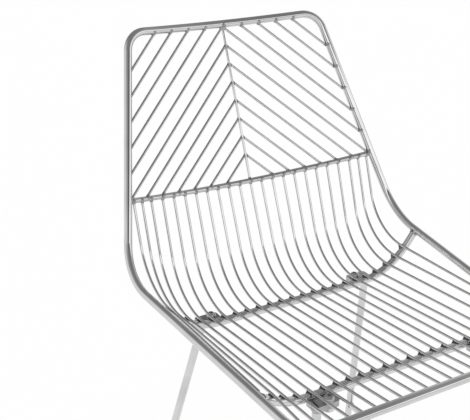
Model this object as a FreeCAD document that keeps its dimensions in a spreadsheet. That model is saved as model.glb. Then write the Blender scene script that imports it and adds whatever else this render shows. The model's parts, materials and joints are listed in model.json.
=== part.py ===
# Wire bar stool: a welded wire shell with a chevron back, bolted to four splayed rod legs.
# Millimetres, +Z up, front towards -Y, origin on the floor under the middle of the stool.

import FreeCAD, Part
import math
import os

from FreeCAD import Vector

# Driving dimensions, in millimetres and degrees. Reach and drop are measured from the middle
# of the back crossbar: reach towards the front, drop downwards.
SIZES = [
    ("rim_dia", 12.0, "rod of the outer rim"),
    ("bar_dia", 8.0, "rod of the back crossbar"),
    ("wire_dia", 4.0, "wires of the back and the seat"),
    ("rod_dia", 12.0, "cross rods under the seat"),
    ("leg_dia", 12.0, "rods of the legs and the footrest"),
    ("rail_dia", 10.0, "rods of the side rails"),
    ("weld_gap", 0.1, "room between welded pieces, filled by the weld"),
    ("bar_height", 877.0, "middle of the crossbar above the floor"),
    ("bar_half_span", 219.8, "half the distance between the rim's axes at the crossbar"),
    ("bar_bow_back", 24.0, "middle of the crossbar behind its ends"),
    ("bar_bow_drop", 16.5, "middle of the crossbar below its ends"),
    ("rim_flare_angle", 13.4, "lean of the rim's sides, seen from the front"),
    ("rim_recline_angle", 23.0, "lean of the rim's sides, seen from the side"),
    ("top_rise", 237.6, "rim's top corners above the middle of the crossbar"),
    ("top_bow_back", 17.6, "middle of the top rail behind its corners"),
    ("top_bow_drop", 6.0, "middle of the top rail below its corners"),
    ("top_corner_radius", 34.0, "top corners of the rim"),
    ("rim_bend_drop", 83.0, "rim's bend from back to seat"),
    ("rim_bend_radius", 82.0, "rim's bend from back to seat"),
    ("front_rail_half", 165.0, "half the straight front rail"),
    ("front_rail_ahead", 85.0, "straight front rail ahead of the front cross rod"),
    ("front_rail_rise", 8.7, "straight front rail above the seat wires over the front cross rod"),
    ("front_rail_radius", 100.0, "bends from the front rail to its corners"),
    ("front_corner_out", 45.0, "rim's front corners beyond the ends of the front rail"),
    ("front_corner_back", 9.0, "rim's front corners behind the front rail"),
    ("front_corner_radius", 35.0, "rim's front corners"),
    ("chevron_pitch", 26.9, "height from one chevron to the next"),
    ("chevron_start", 4.0, "first chevron below the axis of the top rail"),
    ("chevron_angle", 40.6, "slope of the chevrons, seen from the front"),
    ("wire_pitch", 20.0, "spacing of the seat wires"),
    ("side_gap", 16.0, "spacing of the last seat wire but one"),
    ("edge_gap", 14.5, "spacing of the outermost seat wire"),
    ("seat_bend_reach", 62.0, "bend of the seat wires"),
    ("seat_bend_radius", 92.0, "bend of the seat wires"),
    ("lip_radius", 50.0, "bend of the seat wires over the front cross rod"),
    ("rear_rod_reach", 126.0, "rear cross rod"),
    ("rear_seat_drop", 148.2, "seat wires over the rear cross rod"),
    ("rear_rod_inset", 53.0, "bends of the rear cross rod inside the rim"),
    ("front_rod_reach", 374.0, "front cross rod"),
    ("front_seat_drop", 131.7, "seat wires over the front cross rod"),
    ("front_rod_inset", 43.7, "bends of the front cross rod inside the rim"),
    ("rod_bend_radius", 120.0, "bends of the cross rods"),
    ("edge_wire_stop", 10.0, "end of the outermost seat wires behind the front cross rod"),
    ("rear_screw_half", 132.0, "half the distance between the rear seat screws"),
    ("front_screw_half", 125.5, "half the distance between the front seat screws"),
    ("screw_offset", 12.8, "seat screws beyond the surface of their cross rod"),
    ("screw_dia", 8.0, "shank of the seat screws"),
    ("screw_head_dia", 14.0, "button head of the seat screws"),
    ("screw_head_height", 4.4, "button head of the seat screws"),
    ("socket_width", 5.0, "hexagon socket across its flats"),
    ("socket_depth", 2.6, "hexagon socket"),
    ("washer_dia", 16.0, "washers under the screw heads"),
    ("washer_thick", 1.6, "washers under the screw heads"),
    ("nut_width", 13.0, "nuts across their flats"),
    ("nut_height", 6.5, "nuts"),
    ("bolt_clearance", 0.3, "room round the shank in the nuts and washers"),
    ("hole_dia", 9.0, "bolt holes in the tabs and leg plates"),
    ("plate_out", 24.5, "tabs and leg plates outside their screw"),
    ("plate_in", 12.0, "tabs and leg plates inside their screw"),
    ("plate_depth", 21.0, "tabs and leg plates, front to back"),
    ("plate_corner", 4.0, "rounded corners of the tabs and leg plates"),
    ("tab_thick", 4.0, "mounting tabs"),
    ("plate_thick", 4.0, "leg plates"),
    ("leg_offset", 17.7, "top of each leg outside its seat screw"),
    ("rear_leg_inset", 4.8, "tops of the rear legs nearer to their cross rod than the screws"),
    ("leg_splay_angle", 8.0, "lean of the legs outwards"),
    ("rear_leg_rake_angle", 13.9, "lean of the rear legs backwards"),
    ("front_leg_rake_angle", 8.0, "lean of the front legs forwards"),
    ("rail_rear_height", 421.0, "side rails at the rear legs"),
    ("footrest_height", 386.0, "footrest and side rails at the front legs"),
    ("glide_dia", 16.0, "foot glides"),
    ("glide_height", 18.0, "foot glides"),
    ("glide_floor", 4.0, "foot glides under the legs"),
    ("glide_clearance", 0.15, "room round the legs in the foot glides"),
]
SEAT_WIRE_COUNT = 23
CHEVRON_COUNT = 8
CORNER_WIRE_COUNT = 4
ARC_SHARE = 0.75  # share of each half of the top rail that is curved
ROUNDING = 1e-9  # lengths below this count as zero
HALVINGS = 50  # steps of the search for a crossing
STRAIGHT = math.radians(0.4)  # turns smaller than this are left straight
CROWN_SHARE = 0.55  # flat top of a screw head, of the head's width
SHOULDER_OUT = 0.9  # rounding of a screw head at its middle, of the head's width
SHOULDER_UP = 0.55  # and of the head's height
SWEEP_ERROR = 0.01  # most that a bent rod's volume may differ from its section times its length
CLEAR_ERROR = 0.001  # most that a wire's end may be nearer to a bent rod than the weld gap
SIDES = (("left", -1), ("right", 1))
ENDS = (("rear", 1), ("front", -1))

doc = FreeCAD.newDocument("wire_bar_stool")
sheet = doc.addObject("Spreadsheet::Sheet", "Sizes")
for row, (name, value, note) in enumerate(SIZES, start=1):
    sheet.set(f"A{row}", name)
    sheet.set(f"B{row}", str(value))
    sheet.set(f"C{row}", note)
    sheet.setAlias(f"B{row}", name)
doc.recompute()


def size(name):
    return float(sheet.get(name))


def slope(name):
    return math.tan(math.radians(size(name)))


wire_r = size("wire_dia") / 2
rim_r = size("rim_dia") / 2
bar_r = size("bar_dia") / 2
rod_r = size("rod_dia") / 2
leg_r = size("leg_dia") / 2
gap = size("weld_gap")
seat_stack = rod_r + wire_r + gap  # axis of a seat wire above the axis of the cross rod that it lies on

# Heights of the cross rods, the tabs on them and the leg plates under the tabs
rod_drop = {end: size(f"{end}_seat_drop") + seat_stack for end, _ in ENDS}
tab_top = {end: size("bar_height") - rod_drop[end] + size("tab_thick") / 2 for end, _ in ENDS}
plate_top = {end: tab_top[end] - size("tab_thick") for end, _ in ENDS}
leg_top = {end: plate_top[end] - size("plate_thick") for end, _ in ENDS}
screw_reach = {end: size(f"{end}_rod_reach") - way * (rod_r + size("screw_offset")) for end, way in ENDS}
leg_reach = {"rear": screw_reach["rear"] + size("rear_leg_inset"), "front": screw_reach["front"]}

# The whole stool is centred front to back between the front glides and the back of the top rail
rim_top_y = size("top_rise") - size("bar_bow_drop")
top_corner_y = rim_top_y * slope("rim_recline_angle") - size("bar_bow_back")
top_middle_y = top_corner_y + size("top_bow_back")
front_rake = slope("front_leg_rake_angle")
front_foot_y = -leg_reach["front"] - front_rake * leg_top["front"]
rear_most = top_middle_y + rim_r
front_most = front_foot_y - size("glide_dia") / 2 * math.hypot(1, front_rake)
bar_y = -(rear_most + front_most) / 2
bar_z = size("bar_height")


def place(x, reach, drop):
    return Vector(x, bar_y - reach, bar_z - drop)


# Paths of straight runs and tangent arcs

def bent_path(points, radii):
    edges = []
    here = points[0]
    for before, corner, after, radius in zip(points, points[1:], points[2:], radii):
        into = (corner - before).normalize()
        out = (after - corner).normalize()
        turn = into.getAngle(out)
        if turn < STRAIGHT:
            continue
        start = corner - into * (radius * math.tan(turn / 2))
        end = corner + out * (radius * math.tan(turn / 2))
        middle = corner + (out - into).normalize() * (radius / math.cos(turn / 2) - radius)
        edges.append(Part.LineSegment(here, start).toShape())
        edges.append(Part.Arc(start, middle, end).toShape())
        here = end
    edges.append(Part.LineSegment(here, points[-1]).toShape())
    return edges


def meet(edges, side_of):
    # Point and direction of the path where side_of changes sign
    for edge in edges:
        low, high = edge.FirstParameter, edge.LastParameter
        if abs(side_of(edge.valueAt(low))) < ROUNDING:
            return edge.valueAt(low), edge.tangentAt(low)
        if side_of(edge.valueAt(low)) * side_of(edge.valueAt(high)) > 0:
            continue
        for _ in range(HALVINGS):
            middle = (low + high) / 2
            if side_of(edge.valueAt(low)) * side_of(edge.valueAt(middle)) > 0:
                low = middle
            else:
                high = middle
        return edge.valueAt(low), edge.tangentAt(low)
    return None


def right_half(edges):
    halves = []
    for edge in edges:
        middle = (edge.FirstParameter + edge.LastParameter) / 2
        halves.append(edge.Curve.toShape(edge.FirstParameter, middle))
        halves.append(edge.Curve.toShape(middle, edge.LastParameter))
    return [half for half in halves if half.CenterOfMass.x > 0]


def shortened(end, towards, along, carrier_r, own_r):
    # End of a rod that butts against a carrier rod whose axis runs along the given direction
    way = (towards - end).normalize()
    across = way.getAngle(along)
    back = (carrier_r + gap + own_r * abs(math.cos(across))) / math.sin(across)
    return end + way * back


def backed_off(end, towards, path, carrier_r, own_r):
    # End of a rod slid back until its edge clears a bent carrier rod
    way = (towards - end).normalize()
    short = carrier_r
    while short > CLEAR_ERROR:
        edge = Part.Circle(end, way, own_r).toShape()
        short = carrier_r + gap - edge.distToShape(path)[0]
        end = end + way * max(0.0, short)
    return end


def mirrored(point):
    return Vector(-point.x, point.y, point.z)


# Sub-parts of the document

parts = []
bent_rods = []


def keep(obj, label):
    obj.Label = label
    parts.append(obj)
    return obj


def aimed(start, end):
    return FreeCAD.Placement(start, FreeCAD.Rotation(Vector(0, 0, 1), end - start))


def straight_rod(name, start, end, dia):
    rod = doc.addObject("Part::Cylinder", name)
    rod.setExpression("Radius", f"Sizes.{dia} / 2")
    rod.Height = (end - start).Length
    rod.Placement = aimed(start, end)
    return rod


def bent_rod(name, edges, dia):
    path = doc.addObject("Part::Feature", f"{name}_path")
    path.Shape = Part.Wire(edges)
    first = path.Shape.Edges[0]
    start = first.valueAt(first.FirstParameter)
    section = doc.addObject("Part::Circle", f"{name}_section")
    section.setExpression("Radius", f"Sizes.{dia} / 2")
    section.Placement = aimed(start, start + first.tangentAt(first.FirstParameter))
    rod = doc.addObject("Part::Sweep", f"{name}_rod")
    rod.Sections = [section]
    rod.Spine = (path, [f"Edge{i + 1}" for i in range(len(path.Shape.Edges))])
    rod.Solid = True
    bent_rods.append((rod, path, dia))
    return rod


def group(label, master, spots):
    copies = doc.addObject("Part::Feature", f"{label}_group")
    copies.Shape = Part.makeCompound([master.Shape.translated(spot) for spot in spots])
    return keep(copies, label)


# Outer rim: its right half runs from the middle of the front rail to the middle of the top rail, the
# left half mirrors it, and both join into one closed loop

def side_line(rise):
    # Axis of the rim's right side at a height above the middle of the crossbar
    over_end = rise - size("bar_bow_drop")
    return place(
        size("bar_half_span") - over_end * slope("rim_flare_angle"),
        size("bar_bow_back") - over_end * slope("rim_recline_angle"),
        -rise,
    )


front_rail_reach = size("front_rod_reach") + size("front_rail_ahead")
front_rail_drop = size("front_seat_drop") - size("front_rail_rise")
front_middle = place(0, front_rail_reach, front_rail_drop)
front_turn = place(size("front_rail_half"), front_rail_reach, front_rail_drop)
front_corner = front_turn + Vector(size("front_corner_out"), size("front_corner_back"), 0)
seat_corner = side_line(-size("rim_bend_drop"))
top_corner = side_line(size("top_rise"))
top_bow = Vector(0, size("top_bow_back"), -size("top_bow_drop"))
top_knee = Vector(0, top_corner.y, top_corner.z) + top_bow * (1 / (1 - ARC_SHARE / 2))
top_run = (top_knee - top_corner).Length
top_half_turn = math.asin((top_knee - Vector(0, top_corner.y, top_corner.z)).Length / top_run)
top_radius = ARC_SHARE * top_run / math.tan(top_half_turn)
rim_points = [front_middle, front_turn, front_corner, seat_corner, top_corner, top_knee]
rim_points.append(mirrored(top_corner))
rim_bends = ("front_rail_radius", "front_corner_radius", "rim_bend_radius", "top_corner_radius")
rim_radii = [size(bend) for bend in rim_bends]
rim_runs = bent_path(rim_points, rim_radii + [top_radius])
rim_edges = rim_runs[:-2] + right_half(rim_runs[-2:-1])
right_rim = bent_rod("right_rim", rim_edges, "rim_dia")
left_rim = doc.addObject("Part::Mirroring", "left_rim")
left_rim.Source = right_rim
left_rim.Normal = Vector(1, 0, 0)
rim_loop = doc.addObject("Part::Fuse", "rim_loop")
rim_loop.Base = right_rim
rim_loop.Tool = left_rim
keep(rim_loop, "outer_rim")
corner_z = top_corner.z - size("top_corner_radius")
top_edges = [e for e in rim_edges if e.CenterOfMass.z > corner_z]
side_edges = [e for e in rim_edges if e.CenterOfMass.z < corner_z]
front_edges = [e for e in rim_edges if e.CenterOfMass.y < place(0, size("front_rod_reach"), 0).y]
front_path = Part.Wire(front_edges)

# Back crossbar: an arc between the sides of the rim, with its middle back and down
bar_end = side_line(size("bar_bow_drop"))
bar_middle = place(0, 0, 0)
bar_arc = Part.Arc(mirrored(bar_end), bar_middle, bar_end).toShape()
bar_trim = (rim_r + gap) / bar_arc.Curve.Radius
bar_edges = [bar_arc.Curve.toShape(bar_arc.FirstParameter + bar_trim, bar_arc.LastParameter - bar_trim)]
keep(bent_rod("crossbar", bar_edges, "bar_dia"), "back_crossbar")

# Back spine: upright wire from the crossbar to the middle of the top rail
top_middle = Vector(0, top_corner.y, top_corner.z) + top_bow
across = Vector(1, 0, 0)
spine_foot = shortened(bar_middle, top_middle, across, bar_r, wire_r)
spine_head = shortened(top_middle, bar_middle, across, rim_r, wire_r)
keep(straight_rod("spine", spine_foot, spine_head, "wire_dia"), "back_spine")
spine_way = top_middle - bar_middle


# Chevrons and corner wires: straight, parallel wires on each half of the back

def chevron_arm(name, row, side):
    # Row 0 starts where the spine meets the top rail, rows below it lower down the spine, and rows
    # above it on the top rail; each ends on the crossbar or on the side of the rim
    start_drop = size("chevron_start") + row * size("chevron_pitch")
    apex_z = top_middle.z - start_drop

    def side_of(point):
        return point.z - (apex_z - abs(point.x) * slope("chevron_angle"))

    on_bar = meet(right_half([bar_arc]), side_of)
    lower, lower_along = on_bar or meet(side_edges, side_of)
    lower_r = bar_r if on_bar else rim_r
    if row >= 0:
        upper = top_middle - spine_way * (start_drop / spine_way.z)
        under_rail = upper + (lower - upper) * (start_drop / (lower - upper).z)
        at_spine = shortened(upper, lower, spine_way, wire_r, wire_r)
        at_rail = shortened(under_rail, lower, across, rim_r, wire_r)
        start = min(at_spine, at_rail, key=lower.distanceToPoint)
    else:
        upper, rail_along = meet(top_edges, side_of)
        start = shortened(upper, lower, rail_along, rim_r, wire_r)
    end = shortened(lower, upper, lower_along, lower_r, wire_r)
    if side < 0:
        start, end = mirrored(start), mirrored(end)
    return straight_rod(name, start, end, "wire_dia")


for row in range(CHEVRON_COUNT):
    label = f"chevron_{row + 1}"
    pair = doc.addObject("Part::Compound", f"{label}_pair")
    pair.Links = [chevron_arm(f"{label}_{name}_arm", row, side) for name, side in SIDES]
    keep(pair, label)
for name, side in SIDES:
    for count in range(1, CORNER_WIRE_COUNT + 1):
        label = f"{name}_corner_wire_{count}"
        keep(chevron_arm(f"{label}_rod", -count, side), label)


# Cross rods: straight under the seat, with ends bent up to the sides of the rim

def rim_side(reach):
    # Axis of the rim's right side at a distance in front of the crossbar
    along = front_corner - seat_corner
    return seat_corner + along * ((bar_y - reach - seat_corner.y) / along.y)


def rod_bend(end):
    # Corner of a cross rod's upward bend, and where that bend starts, across the stool
    rim_point = rim_side(size(f"{end}_rod_reach"))
    corner = Vector(rim_point.x - size(f"{end}_rod_inset"), rim_point.y, bar_z - rod_drop[end])
    turn = across.getAngle(rim_point - corner)
    return corner, corner.x - size("rod_bend_radius") * math.tan(turn / 2)


for end, _ in ENDS:
    corner, _ = rod_bend(end)
    rim_point = rim_side(size(f"{end}_rod_reach"))
    side_end = shortened(rim_point, corner, front_corner - seat_corner, rim_r, rod_r)
    rod_points = [mirrored(side_end), mirrored(corner), corner, side_end]
    rod_edges = bent_path(rod_points, [size("rod_bend_radius")] * 2)
    keep(bent_rod(f"{end}_rod", rod_edges, "rod_dia"), f"{end}_cross_rod")


# Seat wires: from the crossbar down, round the bend and forward over both cross rods

def seat_drop(end, x):
    # Drop of a seat wire that lies on a cross rod, which rises towards the sides
    _, bend_x = rod_bend(end)
    past = max(0.0, abs(x) - bend_x)
    inner_radius = size("rod_bend_radius") - seat_stack
    rise = inner_radius - math.sqrt(max(0.0, inner_radius ** 2 - past ** 2))
    return size(f"{end}_seat_drop") - rise


def seat_bend(rear, ahead):
    # Sharp corner of a seat wire, on the line of its seat stretch
    back = bar_y - size("seat_bend_reach")
    return rear + (rear - ahead) * ((back - rear.y) / (rear.y - ahead.y))


def seat_points(x):
    # Ends and corners of the seat wire on the right at a distance from the middle
    head, head_along = meet(right_half([bar_arc]), lambda point: point.x - x)
    rear = place(x, size("rear_rod_reach"), seat_drop("rear", x))
    if x > side_wire:
        beside = rim_side(size("front_rod_reach") - size("edge_wire_stop"))
        foot = beside - Vector(rim_r + wire_r + gap, 0, 0)
        corners = [seat_bend(rear, foot)]
    else:
        over_rod = place(x, size("front_rod_reach"), seat_drop("front", x))
        tail, tail_along = meet(front_edges, lambda point: point.x - x)
        corners = [seat_bend(rear, over_rod), over_rod]
        butt = shortened(tail, over_rod, tail_along, rim_r, wire_r)
        foot = backed_off(butt, over_rod, front_path, rim_r, wire_r)
    return [shortened(head, corners[0], head_along, bar_r, wire_r)] + corners + [foot]


last_step = SEAT_WIRE_COUNT // 2
wire_spots = [step * size("wire_pitch") for step in range(last_step - 1)]
side_wire = wire_spots[-1] + size("side_gap")
edge_wire = side_wire + size("edge_gap")
wire_spots += [side_wire, edge_wire]
for step in range(-last_step, last_step + 1):
    label = f"seat_wire_{step + last_step + 1:02d}"
    points = seat_points(wire_spots[abs(step)])
    if step < 0:
        points = [mirrored(point) for point in points]
    wire_edges = bent_path(points, [size("seat_bend_radius"), size("lip_radius")])
    keep(bent_rod(f"{label}_bent", wire_edges, "wire_dia"), label)


# Mounting tabs on the cross rods and leg plates under them, each with a bolt hole

def drilled_plate(name, thick):
    # Plate for the rear left leg, flat, with its rod edge along Y = 0 and the bolt hole at X = 0
    blank = doc.addObject("Part::Box", f"{name}_blank")
    blank.setExpression("Length", "Sizes.plate_out + Sizes.plate_in")
    blank.setExpression("Width", "Sizes.plate_depth")
    blank.setExpression("Height", f"Sizes.{thick}")
    blank.setExpression("Placement.Base.x", "-Sizes.plate_out")
    hole = doc.addObject("Part::Cylinder", f"{name}_hole")
    hole.setExpression("Radius", "Sizes.hole_dia / 2")
    hole.setExpression("Height", f"Sizes.{thick}")
    hole.setExpression("Placement.Base.y", "Sizes.screw_offset - Sizes.weld_gap")
    drilled = doc.addObject("Part::Cut", f"{name}_drilled")
    drilled.Base = blank
    drilled.Tool = hole
    doc.recompute()
    rounded = doc.addObject("Part::Fillet", f"{name}_rounded")
    rounded.Base = drilled
    upright = [
        i + 1
        for i, edge in enumerate(drilled.Shape.Edges)
        if isinstance(edge.Curve, Part.Line) and abs(edge.tangentAt(edge.FirstParameter).z) > 0.5
        and edge.valueAt(edge.FirstParameter).y > size("plate_depth") / 2
    ]
    rounded.Edges = [(i, size("plate_corner"), size("plate_corner")) for i in upright]
    doc.recompute()
    return rounded


def plate_group(label, thick, tops):
    master = drilled_plate(label, thick)
    solids = []
    for end, way in ENDS:
        for _, side in SIDES:
            turned = master.Shape.translated(Vector(0, rod_r + gap, -size(thick)))
            if side == way:
                turned = turned.mirror(Vector(0, 0, 0), across)
            if way < 0:
                turned.rotate(Vector(0, 0, 0), Vector(0, 0, 1), 180)
            spot = place(side * size(f"{end}_screw_half"), size(f"{end}_rod_reach"), 0)
            solids.append(turned.translated(Vector(spot.x, spot.y, tops[end])))
    copies = doc.addObject("Part::Feature", f"{label}_group")
    copies.Shape = Part.makeCompound(solids)
    keep(copies, label)


plate_group("mounting_tabs", "tab_thick", tab_top)
plate_group("leg_plates", "plate_thick", plate_top)


# Seat screws with washers and nuts

def screw_spots(heights):
    spots = []
    for end, _ in ENDS:
        for _, side in SIDES:
            spot = place(side * size(f"{end}_screw_half"), screw_reach[end], 0)
            spots.append(Vector(spot.x, spot.y, heights[end]))
    return spots


shank_length = size("washer_thick") + size("tab_thick") + size("plate_thick") + size("nut_height")
screw = doc.addObject("PartDesign::Body", "seat_screw_body")
planes = {plane.Role: plane for plane in screw.Origin.OriginFeatures}
profile = screw.newObject("Sketcher::SketchObject", "seat_screw_profile")
profile.AttachmentSupport = [(planes["XZ_Plane"], "")]
profile.MapMode = "FlatFace"
head_r = size("screw_head_dia") / 2
shank_r = size("screw_dia") / 2
head_h = size("screw_head_height")
crown_r = head_r * CROWN_SHARE
outline = [(0, -shank_length), (shank_r, -shank_length), (shank_r, 0), (head_r, 0)]
for start, end in zip(outline, outline[1:]):
    profile.addGeometry(Part.LineSegment(Vector(*start, 0), Vector(*end, 0)))
shoulder = Vector(head_r * SHOULDER_OUT, head_h * SHOULDER_UP, 0)
profile.addGeometry(Part.Arc(Vector(head_r, 0, 0), shoulder, Vector(crown_r, head_h, 0)))
profile.addGeometry(Part.LineSegment(Vector(crown_r, head_h, 0), Vector(0, head_h, 0)))
profile.addGeometry(Part.LineSegment(Vector(0, head_h, 0), Vector(0, -shank_length, 0)))
turned = screw.newObject("PartDesign::Revolution", "seat_screw_turned")
turned.Profile = profile
turned.ReferenceAxis = (profile, ["V_Axis"])
turned.Angle = 360
doc.recompute()
socket = doc.addObject("Part::Prism", "socket_hexagon")
socket.Polygon = 6
socket.setExpression("Circumradius", "Sizes.socket_width / 2 / cos(30 deg)")
socket.setExpression("Height", "Sizes.socket_depth")
socket.setExpression("Placement.Base.z", "Sizes.screw_head_height - Sizes.socket_depth")
screw_cut = doc.addObject("Part::Cut", "seat_screw")
screw_cut.Base = screw
screw_cut.Tool = socket
doc.recompute()
washer_top = {end: tab_top[end] + size("washer_thick") for end, _ in ENDS}
group("seat_screws", screw_cut, screw_spots(washer_top))


def ring(name, outer, height):
    bore = doc.addObject("Part::Cylinder", f"{name}_bore")
    bore.setExpression("Radius", "Sizes.screw_dia / 2 + Sizes.bolt_clearance / 2")
    bore.setExpression("Height", f"Sizes.{height}")
    pierced = doc.addObject("Part::Cut", f"{name}_pierced")
    pierced.Base = outer
    pierced.Tool = bore
    doc.recompute()
    return pierced


washer_disc = doc.addObject("Part::Cylinder", "washer_disc")
washer_disc.setExpression("Radius", "Sizes.washer_dia / 2")
washer_disc.setExpression("Height", "Sizes.washer_thick")
group("seat_washers", ring("washer", washer_disc, "washer_thick"), screw_spots(tab_top))
nut_block = doc.addObject("Part::Prism", "nut_block")
nut_block.Polygon = 6
nut_block.setExpression("Circumradius", "Sizes.nut_width / 2 / cos(30 deg)")
nut_block.setExpression("Height", "Sizes.nut_height")
nut_bottom = {end: leg_top[end] - size("nut_height") for end, _ in ENDS}
group("seat_nuts", ring("nut", nut_block, "nut_height"), screw_spots(nut_bottom))


# Legs: splayed rods, cut level at the leg plates and in the glides

def leg_axis(end, way, side):
    # Top of a leg's axis and its direction downwards
    rake = slope(f"{end}_leg_rake_angle")
    out = size(f"{end}_screw_half") + size("leg_offset")
    spot = place(side * out, leg_reach[end], 0)
    return Vector(spot.x, spot.y, leg_top[end]), Vector(side * slope("leg_splay_angle"), way * rake, -1)


def leg_point(axis, height):
    top, down = axis
    return top + down * (top.z - height)


def level_cut(name, axis, radius, low, high):
    # Stretch of a leaning round rod between two heights
    over = radius + size("glide_height")
    start = leg_point(axis, low - over)
    end = leg_point(axis, high + over)
    rod = doc.addObject("Part::Cylinder", f"{name}_round")
    rod.Radius = radius
    rod.Height = (end - start).Length
    rod.Placement = aimed(start, end)
    reach_x = abs(axis[0].x) + abs(start.x)
    reach_y = abs(axis[0].y) + abs(start.y)
    band = doc.addObject("Part::Box", f"{name}_band")
    band.Length = 4 * reach_x
    band.Width = 4 * reach_y
    band.Height = high - low
    band.Placement.Base = Vector(-2 * reach_x, -2 * reach_y, low)
    level = doc.addObject("Part::Common", f"{name}_level")
    level.Base = rod
    level.Tool = band
    return level


glides = []
legs = {}
for end, way in ENDS:
    for name, side in SIDES:
        label = f"{end}_{name}_leg"
        axis = leg_axis(end, way, side)
        legs[end, name] = axis
        keep(level_cut(label, axis, leg_r, size("glide_floor"), leg_top[end]), label)
        cup = level_cut(f"{label}_cup", axis, size("glide_dia") / 2, 0, size("glide_height"))
        bore_r = leg_r + size("glide_clearance")
        bore = level_cut(f"{label}_cup_bore", axis, bore_r, size("glide_floor"), 2 * size("glide_height"))
        glide = doc.addObject("Part::Cut", f"{label}_glide")
        glide.Base = cup
        glide.Tool = bore
        glides.append(glide)
glide_set = doc.addObject("Part::Compound", "foot_glide_set")
glide_set.Links = glides
keep(glide_set, "foot_glides")

# Side rails from the rear legs forward, and the footrest between the front legs
rail_r = size("rail_dia") / 2
for name, side in SIDES:
    rear = leg_point(legs["rear", name], size("rail_rear_height"))
    front = leg_point(legs["front", name], size("footrest_height"))
    rear_end = shortened(rear, front, legs["rear", name][1], leg_r, rail_r)
    front_end = shortened(front, rear, legs["front", name][1], leg_r, rail_r)
    keep(straight_rod(f"{name}_rail", rear_end, front_end, "rail_dia"), f"{name}_side_rail")
left, right = (leg_point(legs["front", name], size("footrest_height")) for name, _ in SIDES)
left_end = shortened(left, right, legs["front", "left"][1], leg_r, leg_r)
right_end = shortened(right, left, legs["front", "right"][1], leg_r, leg_r)
keep(straight_rod("footrest", left_end, right_end, "leg_dia"), "front_footrest")

# Every object is sound before any file is written
doc.recompute()
for obj in doc.Objects:
    if "Invalid" in obj.State or "Error" in obj.State:
        raise RuntimeError(f"{obj.Name} failed: {obj.State}")
for rod, path, dia in bent_rods:
    expected = path.Shape.Length * math.pi * size(dia) ** 2 / 4
    if abs(rod.Shape.Volume - expected) > SWEEP_ERROR * expected:
        raise RuntimeError(f"{rod.Name} isn't a plain round rod along its path")
for part in parts:
    if part.Shape.isNull() or not part.Shape.isValid() or not part.Shape.Solids:
        raise RuntimeError(f"{part.Label} has no sound solid")
os.makedirs("parts", exist_ok=True)
for part in parts:
    part.Shape.exportStep(f"parts/{part.Label}.step")
print(len(parts), "nodes,", sum(len(part.Shape.Solids) for part in parts), "solids")
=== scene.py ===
import json
import math

import bmesh
import bpy
from mathutils import Matrix, Vector
from mathutils.bvhtree import BVHTree


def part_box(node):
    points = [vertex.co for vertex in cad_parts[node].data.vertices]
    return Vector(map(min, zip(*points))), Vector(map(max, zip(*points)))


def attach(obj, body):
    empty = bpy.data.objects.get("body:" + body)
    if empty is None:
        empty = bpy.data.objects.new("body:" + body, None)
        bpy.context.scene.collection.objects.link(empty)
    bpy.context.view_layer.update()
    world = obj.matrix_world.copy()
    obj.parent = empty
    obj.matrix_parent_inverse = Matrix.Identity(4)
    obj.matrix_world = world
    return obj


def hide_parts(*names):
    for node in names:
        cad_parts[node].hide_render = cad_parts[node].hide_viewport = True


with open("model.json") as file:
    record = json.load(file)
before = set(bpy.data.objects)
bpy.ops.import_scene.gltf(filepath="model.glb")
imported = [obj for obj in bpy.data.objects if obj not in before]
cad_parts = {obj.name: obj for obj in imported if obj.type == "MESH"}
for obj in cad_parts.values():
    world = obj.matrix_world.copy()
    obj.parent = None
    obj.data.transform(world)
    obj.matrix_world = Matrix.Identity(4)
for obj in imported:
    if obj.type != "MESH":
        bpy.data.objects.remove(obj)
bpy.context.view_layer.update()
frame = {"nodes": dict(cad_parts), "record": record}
nodes = frame["nodes"]
print("frame loaded,", len(nodes), "nodes")


# Shader maths: a socket that takes part in sums, and one way to make any other node
class Tap:
    def __init__(self, tree, socket=None):
        self.tree = tree
        self.socket = socket

    def node(self, kind, settings=None, inputs=None, output=0):
        made = self.tree.nodes.new(kind)
        for name, value in (settings or {}).items():
            if name == "stops":
                ramp = made.color_ramp.elements
                while len(ramp) < len(value):
                    ramp.new(1.0)
                for stop, (place, shade) in zip(ramp, value):
                    stop.position = place
                    stop.color = (shade, shade, shade, 1.0)
            else:
                setattr(made, name, value)
        for name, value in (inputs or {}).items():
            if isinstance(value, Tap):
                self.tree.links.new(value.socket, made.inputs[name])
            else:
                made.inputs[name].default_value = value
        return Tap(self.tree, made.outputs[output] if made.outputs else None)

    def calc(self, operation, first, second):
        return self.node("ShaderNodeMath", {"operation": operation}, {0: first, 1: second})

    def __add__(self, other):
        return self.calc("ADD", self, other)

    def __radd__(self, other):
        return self.calc("ADD", other, self)

    def __sub__(self, other):
        return self.calc("SUBTRACT", self, other)

    def __rsub__(self, other):
        return self.calc("SUBTRACT", other, self)

    def __mul__(self, other):
        return self.calc("MULTIPLY", self, other)

    def __rmul__(self, other):
        return self.calc("MULTIPLY", other, self)

    def ramp(self, *stops):
        return self.node("ShaderNodeValToRGB", {"stops": stops}, {"Fac": self})

    def noise(self, scale, detail, roughness=0.5):
        inputs = {"Vector": self, "Scale": scale, "Detail": detail, "Roughness": roughness}
        return self.node("ShaderNodeTexNoise", None, inputs)

    def mixed(self, first, second):
        settings = {"data_type": "RGBA"}
        return self.node("ShaderNodeMix", settings, {0: self, 6: first, 7: second}, output=2)


def grey(shade):
    return (shade, shade, shade, 1.0)


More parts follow.
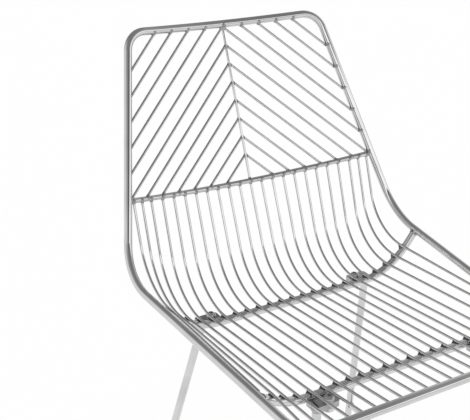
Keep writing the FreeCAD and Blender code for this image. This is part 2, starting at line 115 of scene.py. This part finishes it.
# Finishes of the record's slots and of the welds: shades are linear, scales are per metre; the darker
# plate, weld and web shades are painted shade
finishes = {
    "shell_rod": {"light": 0.66, "dark": 0.58, "metal": 1.0, "rough": 0.07, "roughSpread": 0.04,
                  "cloud": 22, "grain": 500, "grainDepth": 0.012, "specks": 0.06},
    "shell_wire": {"light": 0.62, "dark": 0.54, "metal": 1.0, "rough": 0.10, "roughSpread": 0.05,
                   "cloud": 30, "grain": 700, "grainDepth": 0.015, "specks": 0.08},
    "leg_rod": {"light": 0.66, "dark": 0.58, "metal": 1.0, "rough": 0.09, "roughSpread": 0.05,
                "cloud": 18, "grain": 500, "grainDepth": 0.012, "specks": 0.08},
    # The plate finish is darker than the rods as painted shade for the plate's shaded side faces
    "plate": {"light": 0.44, "dark": 0.33, "metal": 1.0, "rough": 0.17, "roughSpread": 0.08,
              "cloud": 60, "grain": 600, "grainDepth": 0.05, "specks": 0.15},
    "fastener": {"light": 0.66, "dark": 0.50, "metal": 1.0, "rough": 0.22, "roughSpread": 0.10,
                 "cloud": 150, "grain": 1200, "grainDepth": 0.05, "specks": 0.2},
    # The weld finish is darker than the plated rods as painted shade for the crevices where the welds sit
    "weld": {"light": 0.46, "dark": 0.30, "metal": 1.0, "rough": 0.16, "roughSpread": 0.10,
             "cloud": 260, "grain": 900, "grainDepth": 0.1, "specks": 0.2},
    # This near-black finish of the crossing welds is painted shade for the dark crevice between each seat
    # wire and its cross rod
    "web": {"light": 0.20, "dark": 0.11, "metal": 1.0, "rough": 0.2, "roughSpread": 0.10,
            "cloud": 260, "grain": 900, "grainDepth": 0.1, "specks": 0.2},
    "glide": {"light": 0.034, "dark": 0.018, "metal": 0.0, "rough": 0.48, "roughSpread": 0.18,
              "cloud": 90, "grain": 2400, "grainDepth": 0.35, "specks": 0.3},
}
# What smudges, grain and specks do on every finish
wear = {
    "smudgeEdges": ((0.34, 0.0), (0.66, 1.0)),
    "smudgeRough": -0.6,
    "smudgeHeight": 0.3,
    "grainRough": 0.5,
    "grainHeight": 0.6,
    "speckEdges": ((0.70, 0.0), (0.76, 1.0)),
    "speckScale": 0.6,  # of the grain's scale
    "speckShade": 0.5,  # of the dark shade
    "speckDepth": 0.4,
    "bumpDistance": 0.0004,
}


def makeFinish(name, look):
    material = bpy.data.materials.new(name)
    material.use_nodes = True
    material.node_tree.nodes.clear()
    tap = Tap(material.node_tree)
    place = tap.node("ShaderNodeTexCoord", output=3)  # Object coordinates
    cloud = place.noise(look["cloud"], 3.0).ramp(*wear["smudgeEdges"])  # smudges in the shine
    grain = place.noise(look["grain"], 3.0, 0.6)
    speck = place.noise(look["grain"] * wear["speckScale"], 1.0).ramp(*wear["speckEdges"])  # pits and dust
    tone = cloud.mixed(grey(look["dark"]), grey(look["light"]))
    tone = (speck * look["specks"]).mixed(tone, grey(look["dark"] * wear["speckShade"]))
    uneven = cloud * wear["smudgeRough"] + grain * wear["grainRough"] + speck
    rough = look["rough"] + look["roughSpread"] * uneven
    height = grain * wear["grainHeight"] + cloud * wear["smudgeHeight"] - speck * wear["speckDepth"]
    bump = tap.node("ShaderNodeBump", None, {
        "Strength": look["grainDepth"], "Distance": wear["bumpDistance"], "Height": height,
    })
    shader = tap.node("ShaderNodeBsdfPrincipled", None, {
        "Base Color": tone, "Metallic": look["metal"], "Roughness": rough, "Normal": bump,
    })
    tap.node("ShaderNodeOutputMaterial", None, {"Surface": shader})
    return material


materials = {name: makeFinish(name + "_finish", look) for name, look in finishes.items()}


def dress(piece, finish):
    piece.data.materials.clear()
    piece.data.materials.append(materials[finish])
    for face in piece.data.polygons:
        face.material_index = 0


# CAD nodes keep their shape and take the finish of their slot
for part in frame["record"]["subparts"]:
    dress(nodes[part["node"]], part["material_slot"])
print("finishes on the CAD nodes")


# Helpers for the added pieces
mm = 0.001
tiny = 1e-6  # points nearer than this are one
skin = 1e-5  # rays start this far from a surface


def asPiece(bm, name, finish):
    bmesh.ops.dissolve_degenerate(bm, dist=tiny, edges=bm.edges)
    mesh = bpy.data.meshes.new(name)
    bm.to_mesh(mesh)
    bm.free()
    for face in mesh.polygons:
        face.use_smooth = True
    piece = bpy.data.objects.new(name, mesh)
    bpy.context.scene.collection.objects.link(piece)
    dress(piece, finish)
    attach(piece, "root")
    print(name, len(mesh.polygons), "faces")
    return piece


def mergedCopy(name):
    bm = bmesh.new()
    bm.from_mesh(nodes[name].data)
    bmesh.ops.remove_doubles(bm, verts=bm.verts, dist=tiny)
    return bm


# What counts as a rod's round end, and not as a strip of its side
roundEnd = {
    "flatness": 0.5,  # degrees
    "corners": 12,  # it has more than these
    "spread": 1.1,  # longest arm over the shortest
}


def rodEnds(name):
    # flat round ends of a CAD rod: middle, outward direction, radius
    bm = mergedCopy(name)
    flatness = math.radians(roundEnd["flatness"])
    bmesh.ops.dissolve_limit(bm, angle_limit=flatness, verts=bm.verts, edges=bm.edges)
    ends = []
    for face in bm.faces:
        middle = face.calc_center_bounds()
        reach = [(vert.co - middle).length for vert in face.verts]
        if len(reach) > roundEnd["corners"] and max(reach) < roundEnd["spread"] * min(reach):
            ends.append((middle.copy(), face.normal.copy(), min(reach)))
    bm.free()
    return ends


def surfaceOf(*names):
    points, faces = [], []
    for name in names:
        mesh = nodes[name].data
        start = len(points)
        points += [vert.co.copy() for vert in mesh.vertices]
        faces += [[start + corner for corner in face.vertices] for face in mesh.polygons]
    return BVHTree.FromPolygons(points, faces)


legNames = [name for name in nodes if name.endswith("_leg")]
wireNames = [name for name in nodes if "chevron" in name or "wire" in name]
carriers = surfaceOf("outer_rim", "back_crossbar", "back_spine", *legNames)
frameRods = surfaceOf("outer_rim", "back_crossbar")


def spun(points, middle, axis, steps):
    # a closed profile of a few points, spun into a ring
    ring = bmesh.new()
    verts = [ring.verts.new(point) for point in points]
    edges = [ring.edges.new(pair) for pair in zip(verts, verts[1:] + verts[:1])]
    bmesh.ops.spin(ring, geom=verts + edges, cent=middle, axis=axis, angle=2 * math.pi, steps=steps,
                   use_merge=True)
    bmesh.ops.recalc_face_normals(ring, faces=ring.faces)
    return ring


def joinTo(bm, part):
    mesh = bpy.data.meshes.new("join")
    part.to_mesh(mesh)
    part.free()
    bm.from_mesh(mesh)
    bpy.data.meshes.remove(mesh)


# How a weld's ring lies down; a ring that meets its rod askew stays on the rod near its foot
drape = {
    "side": 0.6,  # share of the depth at which a point looks for the side of what the rod meets
    "near": 1.2,  # points within these rod radii stay on the rod
    "above": 0.5,  # as long as they are above this share of the depth
    "foot": 1.12,  # rod radii at which they are level with the rod's end
    "climb": 2,  # rise for each step inwards from there
}


def layWeld(bm, middle, way, rings, segments, surface, depth, radius=0.0, lead=-skin):
    # a ring round the rod is laid on what the rod meets
    side = way.orthogonal().normalized()
    weld = spun([middle + side * out - way * lift for out, lift in rings], middle, way, segments)
    for vert in weld.verts:
        along = (vert.co - middle).dot(way)
        foot = vert.co - way * along
        reached = surface.ray_cast(foot - way * lead, way, depth + lead)[3]
        if reached is None:  # past the side of what the rod meets
            vert.co = surface.find_nearest(foot + way * drape["side"] * depth)[0]
            continue
        along += reached - lead
        out = (foot - middle).length
        if out < drape["near"] * radius and along < drape["above"] * depth:
            along = min(along, drape["climb"] * (out - drape["foot"] * radius))
        vert.co = foot + way * along
    joinTo(bm, weld)


def scaled(rings, radius):
    return [(out * radius, lift * radius) for out, lift in rings]


# Welds where wires end on rods: a small hollow fillet round each end, and a dab on the rod's front side
wireWeld = {
    "segments": 14,
    "rings": ((0.94, 1.3), (1.08, 0.75), (1.3, 0.36),
              (1.62, 0.1), (1.7, -0.2), (1.2, -0.5)),  # in wire radii
    "depth": 1.3,  # furthest that the weld reaches past the wire's end, in wire radii
    "freeReach": 0.012,  # a wire with nothing this near ahead has a free end
    "dabRings": ((0.3, 1.3), (1.5, 1.1), (2.3, 0.6), (2.9, 0.06), (3.0, -0.3), (1.2, -0.7)),  # mm
    "dabPlace": (0.006, 0.003),  # towards the front and past the wire's end
    "dabDepth": 0.003,
    "dabLead": 0.001,
    "frontRail": -0.7,  # wires that point further forward than this end on the front rail, with no dab
}
frontWay = Vector((0, -0.94, 0.34))  # square to the back
bm = bmesh.new()
freeEnds = []
for name in wireNames + ["back_spine"]:
    for middle, way, radius in rodEnds(name):
        ahead = carriers.ray_cast(middle + way * skin, way, wireWeld["freeReach"])[3]
        if ahead is None:
            freeEnds.append((middle, way, radius))
            continue
        rings = scaled(wireWeld["rings"], radius)
        reach = ahead + wireWeld["depth"] * radius
        layWeld(bm, middle, way, rings, wireWeld["segments"], carriers, reach, radius)
        forward, past = wireWeld["dabPlace"]
        spot, outward, _, _ = frameRods.find_nearest(middle + frontWay * forward + way * past)
        if way.y > wireWeld["frontRail"] and (spot - middle).length < wireWeld["freeReach"]:
            rings = scaled(wireWeld["dabRings"], mm)
            layWeld(bm, spot, -outward, rings, wireWeld["segments"], frameRods,
                    wireWeld["dabDepth"], lead=wireWeld["dabLead"])
asPiece(bm, "wire_end_welds", "weld")

# Welds where rods end on the rim and on the legs
rodWeld = {
    "segments": 32,
    "rings": ((0.97, 0.5), (1.04, 0.3), (1.12, 0.15),
              (1.24, 0.02), (1.26, -0.12), (0.9, -0.3)),  # in rod radii
    "depth": 1.02,  # in rod radii
    "rods": ("back_crossbar", "rear_cross_rod", "front_cross_rod", "left_side_rail", "right_side_rail",
             "front_footrest"),
}
bm = bmesh.new()
for name in rodWeld["rods"]:
    for middle, way, radius in rodEnds(name):
        rings = scaled(rodWeld["rings"], radius)
        layWeld(bm, middle, way, rings, rodWeld["segments"], carriers, rodWeld["depth"] * radius, radius)
asPiece(bm, "rod_end_welds", "weld")

# Weld webs under the seat wires where they cross the cross rods; their near-black finish is painted shade
# for the dark crevice at each crossing
crossWeld = {
    "segments": 18,
    "rings": ((0.4, 4.8), (1.5, 4.1), (2.3, 3.2), (3.1, 2.1),
              (4.2, 0.95), (5.4, 0.12), (5.6, -0.25), (2.5, -0.9)),  # mm
    "reach": 0.0015,  # wires this near to the rod are welded to it
    "depth": 0.005,
    "lead": 0.001,
    "behind": 0.0034,  # the web fills the wedge behind the rod
}


def underside(name, depth):
    # lowest point of a front-to-back wire at a depth
    mesh = nodes[name].data
    cuts = []
    for edge in mesh.edges:
        start, end = (mesh.vertices[corner].co for corner in edge.vertices)
        if (start.y - depth) * (end.y - depth) < 0:
            cuts.append(start.lerp(end, (depth - start.y) / (end.y - start.y)))
    return min(cuts, key=lambda spot: spot.z) if cuts else None


bm = bmesh.new()
for rodName in ("rear_cross_rod", "front_cross_rod"):
    rodSurface = surfaceOf(rodName)
    low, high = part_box(rodName)
    for name in wireNames:
        under = underside(name, (low.y + high.y) / 2)
        if under is None or rodSurface.find_nearest(under)[3] > crossWeld["reach"]:
            continue
        contact, upward, _, _ = rodSurface.find_nearest(under + Vector((0, crossWeld["behind"], 0)))
        layWeld(bm, contact, -upward, scaled(crossWeld["rings"], mm), crossWeld["segments"], rodSurface,
                crossWeld["depth"], lead=crossWeld["lead"])
asPiece(bm, "seat_crossing_welds", "web")

# Welds between the legs and their plates
legWeld = {
    "segments": 32,
    "rings": ((0.97, 0.5), (1.08, 0.26), (1.22, 0.1),
              (1.4, 0.02), (1.42, -0.1), (0.9, -0.2)),  # in leg radii
    "lead": 0.006,  # the plates are level and the legs lean, so rays start further back
}
plateSurface = surfaceOf("leg_plates")
bm = bmesh.new()
for name in legNames:
    foot, head = sorted(rodEnds(name), key=lambda end: end[0].z)
    way = (head[0] - foot[0]).normalized()
    layWeld(bm, head[0], way, scaled(legWeld["rings"], head[2]), legWeld["segments"], plateSurface,
            head[2], lead=legWeld["lead"])
asPiece(bm, "leg_top_welds", "weld")


def solidBoxes(name):
    # lowest and highest corner of each solid of a node
    bm = mergedCopy(name)
    boxes = []
    left = set(bm.verts)
    while left:
        solid = {left.pop()}
        newest = set(solid)
        while newest:
            newest = {link.other_vert(vert) for vert in newest for link in vert.link_edges} - solid
            solid |= newest
        left -= solid
        corners = [[pick(vert.co[axis] for vert in solid) for axis in range(3)] for pick in (min, max)]
        boxes.append((Vector(corners[0]), Vector(corners[1])))
    bm.free()
    return boxes


def laySeam(bm, start, end, look):
    # a rippled bead of weld between two points, made upright and then laid down
    way = end - start
    bead = bmesh.new()
    bmesh.ops.create_cone(bead, cap_ends=True, segments=look["segments"], radius1=look["radius"],
                          radius2=look["radius"], depth=way.length)
    rungs = [edge for edge in bead.edges if edge.calc_length() > way.length / 2]
    bmesh.ops.subdivide_edges(bead, edges=rungs, cuts=int(way.length / look["ripple"] * look["cuts"]))
    for vert in bead.verts:
        pastTaper = max(0.0, (abs(vert.co.z) - way.length / 2) / look["taper"] + 1)
        swell = 1 + look["swell"] * math.sin(vert.co.z / look["ripple"] * 2 * math.pi)
        fullness = math.sqrt(max(0.0, 1 - pastTaper ** 2))
        vert.co.xy *= swell * (look["endSize"] + (1 - look["endSize"]) * fullness)
    turn = way.to_track_quat("Z", "Y").to_matrix().to_4x4()
    bmesh.ops.transform(bead, matrix=Matrix.Translation((start + end) / 2) @ turn, verts=bead.verts)
    joinTo(bm, bead)


# Weld seams along the mounting tabs, above and below, and along the outermost seat wires' front ends
seamLook = {
    "segments": 10,
    "radius": 0.0019,
    "ripple": 0.0026,
    "cuts": 4,  # to each ripple
    "swell": 0.1,
    "taper": 0.003,
    "endSize": 0.35,  # of the bead's radius
}
tabSeam = {"inset": 0.0025, "out": 0.0061, "up": 0.0026, "rodRadius": 0.006, "near": 0.05}
edgeSeam = {"length": 0.024, "radius": 0.0015, "back": 0.001}
bm = bmesh.new()
for rodName in ("rear_cross_rod", "front_cross_rod"):
    low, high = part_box(rodName)
    rodY = (low.y + high.y) / 2
    rodZ = low.z + tabSeam["rodRadius"]
    for tabLow, tabHigh in solidBoxes("mounting_tabs"):
        tabY = (tabLow.y + tabHigh.y) / 2
        if abs(tabY - rodY) > tabSeam["near"]:  # on the other cross rod
            continue
        seamY = rodY + math.copysign(tabSeam["out"], tabY - rodY)
        for rise in (tabSeam["up"], -tabSeam["up"]):
            start = Vector((tabLow.x + tabSeam["inset"], seamY, rodZ + rise))
            end = Vector((tabHigh.x - tabSeam["inset"], seamY, rodZ + rise))
            laySeam(bm, start, end, seamLook)
for middle, way, radius in freeEnds:
    toRim = (carriers.find_nearest(middle)[0] - middle).normalized()
    start = middle + toRim * radius - way * edgeSeam["back"]
    laySeam(bm, start, start - way * edgeSeam["length"], {**seamLook, "radius": edgeSeam["radius"]})
asPiece(bm, "weld_seams", "weld")

# Rounded tips of the wires that end beside the rim
tipLook = {
    "steps": 20,
    "rings": ((1.0, 0.02), (1.0, -0.02), (0.93, -0.42), (0.74, -0.72),
              (0.42, -0.93), (0.04, -1.0), (0.04, 0.02)),  # in wire radii
}
bm = bmesh.new()
for middle, way, radius in freeEnds:
    side = way.orthogonal().normalized()
    points = [middle + side * out - way * lift for out, lift in scaled(tipLook["rings"], radius)]
    joinTo(bm, spun(points, middle, way, tipLook["steps"]))
asPiece(bm, "wire_tips", "shell_wire")

# Seat nuts: hexagons with chamfered corners and a countersunk bore
nutLook = {
    "steps": 48,
    "flats": 0.0065,  # middle to a flat
    "bore": 0.00415,
    "sink": 0.0006,  # countersink of the bore
    "chamfer": 0.577,  # fall for each step outwards
    "crown": 0.97,  # level part of the ends, of the flats
    "crownRise": 0.0001,  # level part above the chamfer's upper edge
}
bm = bmesh.new()
for low, high in solidBoxes("seat_nuts"):
    middle = (low + high) / 2
    flats, bore, sink = nutLook["flats"], nutLook["bore"], nutLook["sink"]
    crown = flats * nutLook["crown"]
    corner = flats / math.cos(math.pi / 6)
    drop = (corner - flats) * nutLook["chamfer"]
    half = (high.z - low.z) / 2
    outline = ((bore, -half + sink), (bore + sink, -half), (crown, -half), (corner, -half + drop),
               (corner, half - drop), (crown, half), (bore + sink, half), (bore, half - sink))
    points = [middle + Vector((out, 0, rise)) for out, rise in outline]
    nut = spun(points, middle, (0, 0, 1), nutLook["steps"])
    for vert in nut.verts:
        arm = vert.co - middle
        if arm.xy.length < flats:
            continue
        turn = math.atan2(arm.y, arm.x) % (math.pi / 3) - math.pi / 6  # angle from the middle of a flat
        out = flats / math.cos(turn)
        arm.xy *= out / arm.xy.length
        arm.z = math.copysign(half - (out - flats) * nutLook["chamfer"] - nutLook["crownRise"], arm.z)
        vert.co = middle + arm
    joinTo(bm, nut)
nuts = asPiece(bm, "chamfered_seat_nuts", "fastener")
for face in nuts.data.polygons:
    face.use_smooth = False
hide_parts("seat_nuts")


# Floor, light and camera
stage = {
    "floorSize": 190.0,  # its far edge stays out of sight in low views
    "floorShade": 0.9,
    "floorGlow": 0.8,  # share of the floor that is plain white to the camera and in the chrome
    "keyStrength": 2.1,
    "keySpread": 50.0,  # degrees
    "keyPlace": (-1.0, -0.6, 3.0),
}
photo = {
    "place": (-0.7113, -0.95591, 1.3771),
    "turn": (68.0, 0.0, -30.49),  # degrees
    "lens": 70.56,  # mm
    "sensor": 36.0,  # mm
}

bm = bmesh.new()
bmesh.ops.create_grid(bm, x_segments=1, y_segments=1, size=stage["floorSize"] / 2)
floorMesh = bpy.data.meshes.new("floor")
bm.to_mesh(floorMesh)
bm.free()
floor = bpy.data.objects.new("floor", floorMesh)
bpy.context.scene.collection.objects.link(floor)
paint = bpy.data.materials.new("floor_paint")
paint.use_nodes = True
paint.node_tree.nodes.clear()
tap = Tap(paint.node_tree)
ray = tap.node("ShaderNodeLightPath")
seen = [Tap(paint.node_tree, ray.socket.node.outputs[name])
        for name in ("Is Camera Ray", "Is Glossy Ray", "Is Transmission Ray")]
share = (seen[0] + seen[1] + seen[2]) * stage["floorGlow"]
matte = tap.node("ShaderNodeBsdfDiffuse", None, {"Color": grey(stage["floorShade"])})
glow = tap.node("ShaderNodeEmission", None, {"Color": grey(1.0), "Strength": 1.0})
both = tap.node("ShaderNodeMixShader", None, {0: share, 1: matte, 2: glow})
tap.node("ShaderNodeOutputMaterial", None, {"Surface": both})
floorMesh.materials.append(paint)

# Studio: soft boxes low in front and pale walls at both sides, in a dim room with a dark screen
# width is 0 at the left and 1 at the right, depth is 0 in front, height is 0 at the horizon
studio = {
    "boxes": ((0.0, 0.0), (0.10, 0.0), (0.15, 1.0), (0.36, 1.0), (0.43, 0.0), (1.0, 0.0)),  # by height
    "front": ((0.30, 1.0), (0.44, 0.0)),  # by depth
    "sides": ((0.15, 1.0), (0.34, 0.0), (0.74, 0.0), (0.82, 0.75)),  # by width
    "sideHeight": ((0.42, 1.0), (0.75, 0.35), (1.0, 0.3)),
    "sideShade": ((0.42, 0.65), (0.62, 1.0)),  # by depth
    "boxShade": 1.4,
    "room": ((0.0, 0.5), (0.1, 0.32), (0.45, 0.28), (1.0, 0.28)),  # by height
    "dark": ((0.05, 1.0), (0.12, 0.0)),  # unlit strip behind the camera, by depth
    "darkShade": 0.1,
    "screen": ((0.08, 1.0), (0.12, 0.0)),  # low dark screen at the front left, by height
    "screenWidth": ((0.22, 1.0), (0.30, 0.0)),
    "screenDepth": ((0.36, 1.0), (0.46, 0.0)),
    "screenShade": 0.04,
}
world = bpy.data.worlds.new("studio")
world.use_nodes = True
world.node_tree.nodes.clear()
bpy.context.scene.world = world
tap = Tap(world.node_tree)
direction = tap.node("ShaderNodeTexCoord", output=0)
axes = tap.node("ShaderNodeSeparateXYZ", None, {0: direction}).socket.node.outputs
up = Tap(world.node_tree, axes["Z"])
depth = Tap(world.node_tree, axes["Y"]) * 0.5 + 0.5  # -1 to 1 becomes 0 to 1
width = Tap(world.node_tree, axes["X"]) * 0.5 + 0.5
boxes = up.ramp(*studio["boxes"]) * depth.ramp(*studio["front"])
room = up.ramp(*studio["room"])
room = depth.ramp(*studio["dark"]).mixed(room, grey(studio["darkShade"]))
sides = width.ramp(*studio["sides"]) * up.ramp(*studio["sideHeight"])
room = sides.mixed(room, depth.ramp(*studio["sideShade"]))
light = boxes.mixed(room, grey(studio["boxShade"]))
screen = up.ramp(*studio["screen"]) * width.ramp(*studio["screenWidth"])
screen = screen * depth.ramp(*studio["screenDepth"])
light = screen.mixed(light, grey(studio["screenShade"]))
sky = tap.node("ShaderNodeBackground", None, {"Color": light, "Strength": 1.0})
tap.node("ShaderNodeOutputWorld", None, {"Surface": sky})

lamp = bpy.data.lights.new("key", "SUN")
lamp.energy = stage["keyStrength"]
lamp.angle = math.radians(stage["keySpread"])
key = bpy.data.objects.new("key", lamp)
key.location = stage["keyPlace"]
key.rotation_euler = (-key.location).to_track_quat("-Z", "Y").to_euler()
key.visible_glossy = False
bpy.context.scene.collection.objects.link(key)

camera = bpy.data.objects.new("camera", bpy.data.cameras.new("camera"))
camera.data.lens = photo["lens"]
camera.data.sensor_width = photo["sensor"]
camera.location = photo["place"]
camera.rotation_euler = [math.radians(turn) for turn in photo["turn"]]
bpy.context.scene.collection.objects.link(camera)
bpy.context.scene.camera = camera
bpy.context.scene.view_settings.view_transform = "Standard"
print("floor, light and camera")
